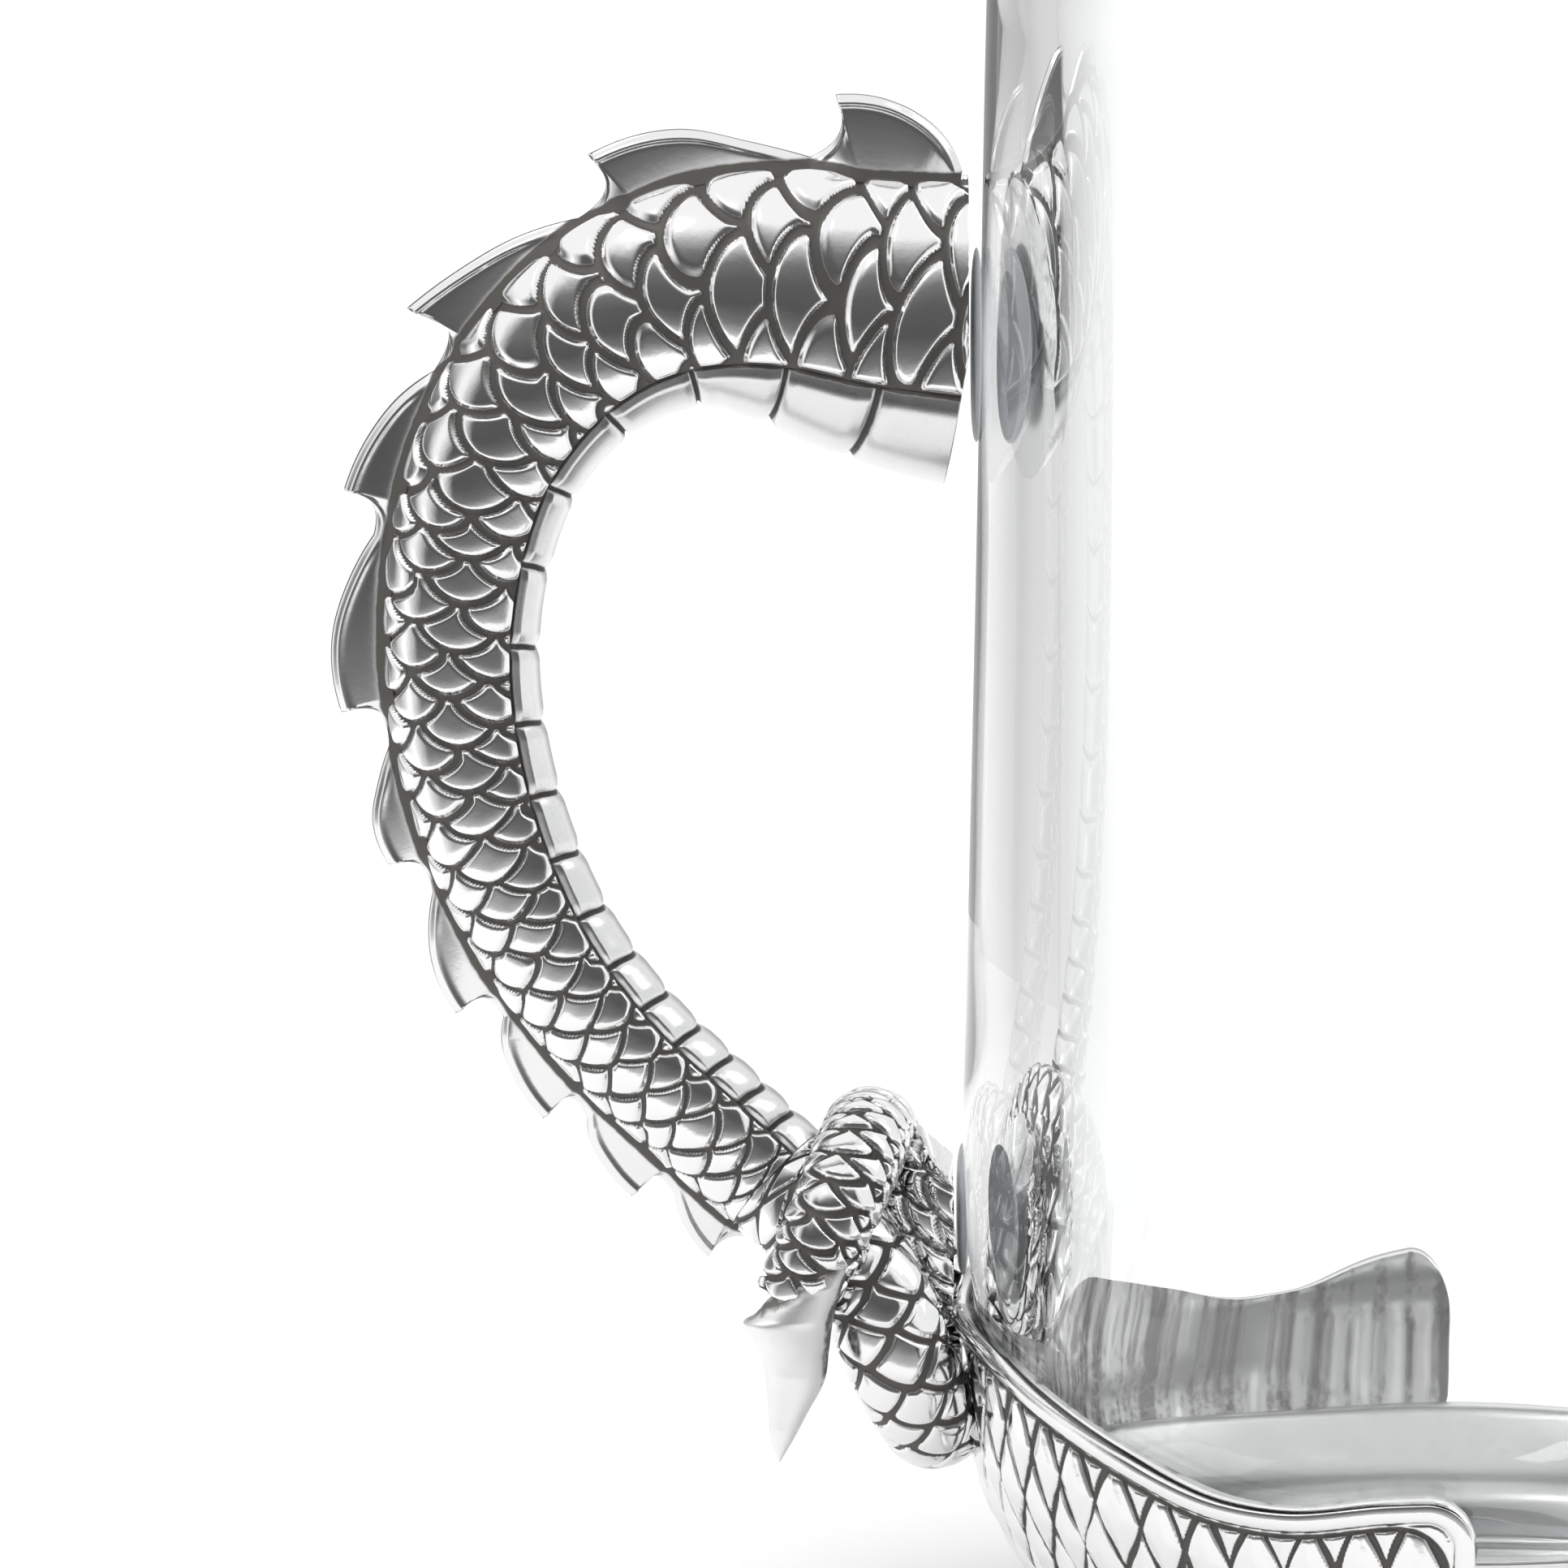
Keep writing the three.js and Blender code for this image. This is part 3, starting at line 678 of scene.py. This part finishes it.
def dorsal_fins():
    """A blade that follows the back of the arch: hollow faces, and a thin bright edge."""
    edge, roots = crest_edge()
    sizes = PATH.look(PATH.sizes, roots)
    sunk = sizes[:, :1] - FIN_ROOT_DEPTH
    base = (PATH.look(PATH.points, roots) + PATH.look(PATH.out, roots) * sunk)[:, [0, 2]]
    up = 1 - (1 - np.linspace(0, 1, 44)) ** 1.5
    reach = np.linalg.norm(edge - base, axis=1)
    plane = base[:, None, :] + (edge - base)[:, None, :] * up[None, :, None]
    foot = FIN_FOOT_HALF * (0.55 + 0.45 * np.clip(reach / 6, 0, 1))
    to_edge = (1 - up[None, :]) * reach[:, None]
    bead = 0.30 * bell(to_edge - 0.75, 0.36) * smoothstep(1.5, 3.5, reach)[:, None]
    half = (foot[:, None] * (1 - up[None, :]) ** 1.7 + FIN_BLADE_HALF + bead
            - 0.30 * smoothstep(0.6, 0.0, to_edge))
    level = up[None, :] * reach[:, None]
    dark = 1 - smoothstep(0.9, 1.9, level)
    front = np.stack([plane[..., 0], -half, plane[..., 1]], axis=-1)
    back = np.stack([plane[..., 0], half, plane[..., 1]], axis=-1)[:, ::-1]
    points = np.concatenate([front, back], axis=1)
    points = cut_at_glass(points)
    shade = np.concatenate([dark, dark[:, ::-1]], axis=1)
    piece = tube_piece("dorsal_fins", points, SMOOTH, shade)
    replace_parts(piece, "dorsal_crest")


# ---- the knot -----------------------------------------------------------------------------

def scaled_coil(name, node, start, stop, pitch, columns, seed, depth, roundness, groove, patina_and_shade_reach):
    """A round length of tail covered with scales. The last argument is how far up a scale the
    darkening reaches: oxide in the grooves, and painted shade on the faces above them, as over most
    of the upper coil.
    """
    rows, around = 420, 190
    s = np.linspace(start, stop, rows)
    sizes = PATH.look(PATH.sizes, s)
    angle = np.linspace(-math.pi, math.pi, around, endpoint=False)[None, :]
    count = rows_along(s, np.full(rows, pitch))[:, None] + 0 * angle
    across_count = (angle + math.pi) / (2 * math.pi) * columns + 0 * count
    relief = scale_relief(count, across_count, seed, roundness, groove, 0.45, columns)
    # Oxide in the grooves. Higher up, as on the upper coil, this darkening is painted shade over the
    # scales' faces.
    dark = 1 - smoothstep(0.04, patina_and_shade_reach, relief)
    lift = (relief - 1.0) * depth + 0.10
    across = (sizes[:, 1, None] + lift) * np.sin(angle)
    out = (sizes[:, 0, None] + lift) * np.cos(angle)
    points = around_path(s, across, out)
    piece = tube_piece(name, points, POLISHED, dark)
    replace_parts(piece, node)


def tail_coils():
    scaled_coil("coil_under_post", "tail_coil_lower", ARCH_END - 0.1, COIL_SPLIT,
                pitch=3.5, columns=8, seed=11, depth=0.42, roundness=1.3, groove=0.22, patina_and_shade_reach=0.36)
    # The upper coil is darkened 0.70 of the way up its scales: painted shade beyond the oxide in its
    # grooves.
    scaled_coil("coil_over_post", "tail_coil_upper", COIL_SPLIT + 0.1, PATH.length[-1],
                pitch=2.35, columns=7, seed=17, depth=0.60, roundness=1.7, groove=0.24, patina_and_shade_reach=0.70)


# ---- round pieces -------------------------------------------------------------------------

def vessel():
    outline = [(0, 5.2)]
    outline += list(map(tuple, through([(24, 5.2), *GLASS_OUTSIDE], 8)))
    outline += list(map(tuple, through([GLASS_OUTSIDE[-1], *GLASS_RIM, GLASS_INSIDE[0]], 5)[1:-1]))
    outline += list(map(tuple, through([*GLASS_INSIDE, (15, 11.0)], 8)))
    outline += [(0, 10.9)]
    piece = lathe_piece("glass_vessel", outline, GLASS)
    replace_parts(piece, "glass_body")


def dish():
    outside = through(DISH_OUTSIDE, 10)
    outside = outside[outside[:, 1] < DISH_TOP_Z - 0.3]
    glass = through(GLASS_OUTSIDE, 8)
    inside = glass[(glass[:, 1] > 6) & (glass[:, 1] < DISH_TOP_Z - 0.2)][::-1] + (0.2, 0)
    lip = [(42.0, DISH_TOP_Z - 0.05), (41.0, DISH_TOP_Z)]
    outline = [(0, 1.4), (32.9, 1.4), *DISH_FOOT, *map(tuple, outside), *lip, *map(tuple, inside),
               (31.6, DISH_FLOOR_Z), (0, DISH_FLOOR_Z)]
    piece = lathe_piece("base_cup", outline, SATIN)
    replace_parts(piece, "base_dish")


def base_layers():
    pad = [(0, 0), (31.9, 0), (32.5, 0.15), (32.8, 0.5), (32.8, 0.9), (32.4, 1.2), (0, 1.2)]
    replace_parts(lathe_piece("felt_disc", pad, FELT), "foot_pad")
    bed = [(0, 4.6), (30.0, 4.6), (30.5, 4.7), (30.5, 4.9), (30.0, 5.0), (0, 5.0)]
    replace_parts(lathe_piece("resin_bed", bed, RESIN), "glass_bedding")


# ---- the saddle ---------------------------------------------------------------------------

def saddle_radius(z):
    """The saddle's inner and outer radius at each height."""
    dish_r = smooth_value([(h, r) for r, h in DISH_OUTSIDE], z)
    glass_r = smooth_value([(h, r) for r, h in GLASS_OUTSIDE], z)
    above = smoothstep(DISH_TOP_Z - 4, DISH_TOP_Z + 10, z)
    outer = dish_r + (glass_r - dish_r) * above + SADDLE_GAP + SADDLE_THICK
    closing = smoothstep(DISH_TOP_Z + 2.6, DISH_TOP_Z + 5.5, z)
    inner = dish_r + (glass_r - dish_r) * closing + SADDLE_GAP
    return inner, outer


def distance_inside_corner(to_end, to_top, radius):
    """Distance in from the outline near a corner rounded to the given radius."""
    round_part = radius - np.hypot(np.maximum(radius - to_end, 0), np.maximum(radius - to_top, 0))
    return np.where((to_end < radius) & (to_top < radius), round_part, np.minimum(to_top, to_end))


# The net of grooves: the lines' distance apart, the height in which they move on by one
# place, their bend and their half width in pitches.
NET_PITCH = 4.7
NET_RISE = 13.0
NET_BEND = 0.022
NET_LINE = 0.045


def saddle_net(arc, drop, z):
    """Distance to the nearest of two sets of crossing lines in pitches, and the lines' depth."""
    across = arc / NET_PITCH + 0.10 * ripple(arc * 0.5, drop * 0.3, 23)
    slant = (0.95 * drop + 0.012 * drop**2) / NET_RISE
    one = across + slant + NET_BEND * np.sin(2 * math.pi * (across - slant))
    two = across - slant + NET_BEND * np.sin(2 * math.pi * (across + slant))
    gap_one = np.abs(one - np.round(one))
    gap_two = np.abs(two - np.round(two))
    net = np.minimum(gap_one, gap_two)
    width = NET_LINE + 0.035 * ripple(arc * 0.9, z * 0.9, 31)
    return net, 1 - smoothstep(width, width + 0.04, net)


def scaled_saddle():
    """The scaled collar under the handle, with a thick smooth rim that ends in two noses."""
    columns, rows, inner_rows = 880, 90, 22
    swing = np.linspace(-1, 1, columns)[:, None]
    degrees = swing * SADDLE_HALF_ANGLE
    away = np.abs(degrees)
    full_top = smooth_value(SADDLE_TOP, away)
    bottom = smooth_value(SADDLE_BOTTOM, away)
    # Each end closes in a half round about the nose's height.
    into = np.clip(1 - (SADDLE_HALF_ANGLE - away) / SADDLE_NOSE_SPAN, 0, 1)
    arc = np.radians(degrees) * SADDLE_RADIUS
    rounding = np.maximum(np.sqrt(1 - into**2), 0.02)
    top = SADDLE_NOSE_Z + (full_top - SADDLE_NOSE_Z) * rounding
    bottom = SADDLE_NOSE_Z + (bottom - SADDLE_NOSE_Z) * rounding
    up = np.linspace(0, 1, rows)[None, :]
    z = bottom + (top - bottom) * up
    inner, outer = saddle_radius(z)
    # Distances in from the outline, and from one with rounder corners for the scaled panel.
    slope = np.gradient(full_top[:, 0], arc[:, 0], edge_order=2)[:, None]
    to_top = (full_top - z) / np.sqrt(1 + slope**2)
    to_end = np.radians(SADDLE_HALF_ANGLE - away) * SADDLE_RADIUS
    edge = distance_inside_corner(to_end, to_top, SADDLE_CORNER)
    panel_edge = distance_inside_corner(to_end, to_top, PANEL_CORNER)
    bead = np.sqrt(np.clip(1 - ((edge - 1.0) / BEAD_HALF_WIDTH) ** 2, 0, 1)) * BEAD_HEIGHT
    line = bell(panel_edge - RIM_WIDTH, 0.26)
    drop = full_top - z + 0 * arc
    net, net_line = saddle_net(arc, drop, z)
    face = smoothstep(RIM_WIDTH - 0.05, RIM_WIDTH + 0.3, panel_edge)
    relief = 0.40 * smoothstep(0.05, 0.40, net) - 0.35 * net_line
    lift = np.where(edge < 2.3, bead - 0.15, 0.0) - 0.3 * line + face * relief
    lift = lift - 0.5 * smoothstep(0.35, 0.0, edge)
    dark = np.clip(np.maximum(line, face * net_line), 0, 1)
    # The inner face is streaked from top to bottom.
    streak = ripple(arc * 2.2, 0 * arc, 41, 9) + 0.5 * ripple(arc * 6.0, z * 0.15, 43, 9)
    streaked = inner - 0.16 * smoothstep(-0.6, 0.8, streak) * face
    inner_shade = np.clip(0.36 + 0.26 * streak, 0.0, 0.66)
    turn = math.pi + np.radians(degrees)
    outside = np.stack([(outer + lift) * np.cos(turn), (outer + lift) * np.sin(turn), z], axis=-1)
    inside = np.stack([streaked * np.cos(turn), streaked * np.sin(turn), z], axis=-1)
    coarse = np.linspace(rows - 1, 0, inner_rows).astype(int)
    points = np.concatenate([outside, inside[:, coarse]], axis=1)
    shade = np.concatenate([dark, inner_shade[:, coarse]], axis=1)
    piece = tube_piece("saddle_scales", points, POLISHED, shade, flip=True)
    piece.data.materials.append(FROSTED)
    which = np.tile(np.repeat([0, 1], [rows, inner_rows]), columns - 1)
    which = np.concatenate([which, np.zeros(len(piece.data.polygons) - len(which), int)])
    piece.data.polygons.foreach_set("material_index", which)
    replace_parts(piece, "scale_saddle")


# ---- small pieces -------------------------------------------------------------------------

def post():
    """The stub that the tail is wrapped round, faceted like scales and dull along its top."""
    start, stop = np.array(POST_START), np.array(POST_STOP)
    direction = (stop - start) / np.linalg.norm(stop - start)
    upward = np.cross([0, 1.0, 0], direction)
    rows, around = 120, 140
    t = np.linspace(0, 1, rows)[:, None]
    angle = np.linspace(0, 2 * math.pi, around, endpoint=False)[None, :]
    radius = POST_RADII[0] + (POST_RADII[1] - POST_RADII[0]) * t
    radius = radius * (1 - 0.25 * smoothstep(0.93, 1.0, t))
    cells = scale_relief(t * 6.5 + 0 * angle, angle / math.pi * 6 + 0 * t, 23, 1.9, 0.14, 0.9, 12)
    lift = (cells - 1.0) * 0.7
    across = (radius * POST_FLATNESS + lift) * np.cos(angle)
    rise = (radius + lift) * np.sin(angle)
    along = t * np.linalg.norm(stop - start) + 0 * angle
    points = (start + along[..., None] * direction + across[..., None] * np.array([0, 1.0, 0])
              + rise[..., None] * upward)
    points[..., 0] = np.minimum(points[..., 0], POST_FACE_X)
    unpolished = smoothstep(0.75, 0.95, np.sin(angle)) * 0.42 + 0 * t
    shade = np.maximum(unpolished, 0.62 - 0.62 * smoothstep(0.03, 0.16, cells))
    piece = tube_piece("post_stub", points, POLISHED, shade, flip=True)
    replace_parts(piece, "handle_post")


def spade():
    """The arrowhead at the end of the tail: smooth below its two barbs, rough above them."""
    rows, around = 220, 96
    z = np.linspace(SPADE_LEFT[0][0], SPADE_LEFT[-1][0], rows)
    left, right = smooth_value(SPADE_LEFT, z), smooth_value(SPADE_RIGHT, z)
    middle, half = (left + right) / 2, np.maximum((right - left) / 2, 0.1)
    angle = np.linspace(0, 2 * math.pi, around, endpoint=False)[None, :]
    thick = np.interp(z, *zip(*SPADE_THICK))[:, None]
    bulge = np.sign(np.sin(angle)) * np.abs(np.sin(angle)) ** 1.15
    x = middle[:, None] + half[:, None] * np.cos(angle)
    level = z[:, None] + 0 * x
    barb_line = 33.2 + 0.55 * (x + 63.5)
    over_barbs = smoothstep(-0.6, 0.9, level - barb_line)
    # The right edge above 26.5 mm is roughened and darkened. The darkening is painted shade of the
    # blade's shadowed right side.
    shaded_rough_flange = smoothstep(0.72, 0.90, np.cos(angle)) * smoothstep(26.5, 29.5, level)
    mottle = ripple(x * 2.6, level * 2.2, 8, 14)
    # This holds the rough band over the barbs, and along the right edge both roughness and painted
    # shade.
    unpolished = np.maximum(over_barbs * (0.57 + 0.12 * mottle), shaded_rough_flange * 0.60)
    y = SPADE_Y + thick * bulge + 0.22 * unpolished * ripple(x * 5, level * 6, 4, 12)
    points = np.stack([x, y, level], axis=-1)
    piece = tube_piece("spade_blade", points, FROSTED, unpolished)
    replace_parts(piece, "tail_spade")


def bond(name, node):
    """A resin pad between the pewter and the glass, from its CAD box."""
    low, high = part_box(node)
    low, high = np.array(low) / MM, np.array(high) / MM
    centre, half = (low + high) / 2, (high - low) / 2
    rings, around = 14, 64
    turn = np.linspace(0, 2 * math.pi, around, endpoint=False)
    rows = []
    for k in range(rings):
        tilt = math.pi * (k + 0.5) / rings
        size = math.sin(tilt) ** 0.5
        x = centre[0] - half[0] * math.cos(tilt)
        rows.append(np.stack([np.full(around, x), centre[1] + half[1] * size * np.cos(turn),
                              centre[2] + half[2] * size * np.sin(turn)], axis=-1))
    piece = tube_piece(name, np.array(rows), RESIN, np.zeros((rings, around)))
    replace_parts(piece, node)


# ---- stage --------------------------------------------------------------------------------

STUDIO_BRIGHTNESS = 1.05


def world():
    """An even white studio."""
    made = bpy.data.worlds.new("studio")
    bpy.context.scene.world = made
    made.use_nodes = True
    background = made.node_tree.nodes["Background"]
    background.inputs["Color"].default_value = (1.0, 1.0, 1.0, 1)
    background.inputs["Strength"].default_value = STUDIO_BRIGHTNESS


def card_material(name):
    """A plain glow as bright as the card's glow attribute says."""
    material = bpy.data.materials.new(name)
    material.use_nodes = True
    tree = material.node_tree
    tree.nodes.clear()
    glow = tree.nodes.new("ShaderNodeAttribute")
    glow.attribute_name = "glow"
    emission = tree.nodes.new("ShaderNodeEmission")
    output = tree.nodes.new("ShaderNodeOutputMaterial")
    tree.links.new(glow.outputs["Fac"], emission.inputs["Strength"])
    tree.links.new(emission.outputs[0], output.inputs["Surface"])
    return material


def card(name, centre_x, radius, middle, spread, high, greys, shares, in_glass=False):
    """A curved grey card round the object that only reflections show, or only the glass.

    middle and spread are in degrees, with 0 in front and 90 to the right. greys are the
    brightnesses from its foot to its top. shares say how much of that grey is used from one
    side to the other, where 0 is as bright as the studio.
    """
    across, up = 64, 24
    turn = np.radians(middle + np.linspace(-spread, spread, across + 1))
    z = np.linspace(1, high, up + 1)
    points = np.stack([
        np.broadcast_to(centre_x + radius * np.sin(turn), (up + 1, across + 1)),
        np.broadcast_to(-radius * np.cos(turn), (up + 1, across + 1)),
        np.broadcast_to(z[:, None], (up + 1, across + 1)),
    ], axis=-1)
    mesh = bpy.data.meshes.new(name)
    faces = grid_faces(up + 1, across + 1, False)
    mesh.from_pydata((points.reshape(-1, 3) * MM).tolist(), [], faces)
    grey = drawn_out(greys, up + 1)[:, None]
    share = drawn_out(shares, across + 1)[None, :]
    brightness = STUDIO_BRIGHTNESS + (grey - STUDIO_BRIGHTNESS) * share
    layer = mesh.attributes.new("glow", "FLOAT", "POINT")
    layer.data.foreach_set("value", brightness.astype(np.float32).ravel())
    mesh.materials.append(card_material(name))
    panel = bpy.data.objects.new(name, mesh)
    bpy.context.scene.collection.objects.link(panel)
    panel.visible_camera = False
    panel.visible_diffuse = False
    panel.visible_shadow = False
    panel.visible_glossy = not in_glass
    panel.visible_transmission = in_glass


def floor():
    bpy.ops.mesh.primitive_plane_add(size=4.0, location=(0, 0, -0.0002))
    plane = bpy.context.object
    plane.name = "studio_floor"
    n = Nodes("pale_floor")
    n.put("Base Color", (0.97, 0.97, 0.97, 1))
    n.put("Roughness", 0.6)
    plane.data.materials.append(n.material)


def area_light(name, place, aim, size, power):
    data = bpy.data.lights.new(name, "AREA")
    data.shape = "RECTANGLE"
    data.size, data.size_y = size
    data.energy = power
    lamp = bpy.data.objects.new(name, data)
    bpy.context.scene.collection.objects.link(lamp)
    lamp.location = place
    lamp.rotation_euler = (Vector(aim) - Vector(place)).to_track_quat("-Z", "Y").to_euler()


def camera():
    """In front of the handle and looking square onto its middle plane, but a little down."""
    elevation = math.radians(CAMERA_ELEVATION)
    aim = Vector(CAMERA_AIM)
    back = Vector((0, -math.cos(elevation), math.sin(elevation)))
    data = bpy.data.cameras.new("camera")
    data.sensor_width = 36
    data.lens = CAMERA_LENS
    data.clip_end = 20
    cam = bpy.data.objects.new("camera", data)
    bpy.context.scene.collection.objects.link(cam)
    cam.location = aim + back * CAMERA_DISTANCE
    cam.rotation_mode = "QUATERNION"
    cam.rotation_quaternion = (-back).to_track_quat("-Z", "Y")
    bpy.context.scene.camera = cam


# ---- making the scene ---------------------------------------------------------------------

HANDLE_X = -50
LIGHT_AIM = (-0.05, 0, 0.08)
FRONT_GREYS = (0.62, 0.20, 0.10, 0.12, 0.20, 0.55, 1.0)
REAR_GREYS = (0.80, 0.50, 0.50, 0.60, 1.0)
LEFT_GREYS = (0.70, 0.25, 0.16, 0.25, 0.6, 1.0)
GLASS_GREYS = (STUDIO_BRIGHTNESS, *[0.75] * 10)

bpy.context.scene.view_settings.view_transform = "Standard"
camera()
world()
floor()
card("front_card", HANDLE_X, radius=150, middle=-5, spread=72, high=300,
     greys=FRONT_GREYS, shares=(0, 1, 1, 1, 1, 1, 1, 1, 0))
card("rear_card", HANDLE_X, radius=260, middle=180, spread=38, high=170,
     greys=REAR_GREYS, shares=(0, 1, 1, 1, 0))
card("left_card", HANDLE_X, radius=250, middle=240, spread=36, high=240,
     greys=LEFT_GREYS, shares=(0, 1, 1, 1, 0))
card("glass_card", 0, radius=130, middle=-125, spread=32, high=300,
     greys=GLASS_GREYS, shares=(0, 0.5, 0.9, 1.4, 1, 1, 1, 0.6, 0), in_glass=True)
area_light("key", place=(-0.7, -0.5, 1.1), aim=LIGHT_AIM, size=(0.5, 0.5), power=4)
area_light("fill", place=(0.9, 0.3, 0.8), aim=LIGHT_AIM, size=(0.6, 0.6), power=2)

vessel()
dish()
base_layers()
scaled_saddle()
tail_arch_scales()
belly_plate_strip()
dorsal_fins()
tail_coils()
post()
spade()
bond("upper_resin_pad", "upper_bond")
bond("lower_resin_pad", "lower_bond")
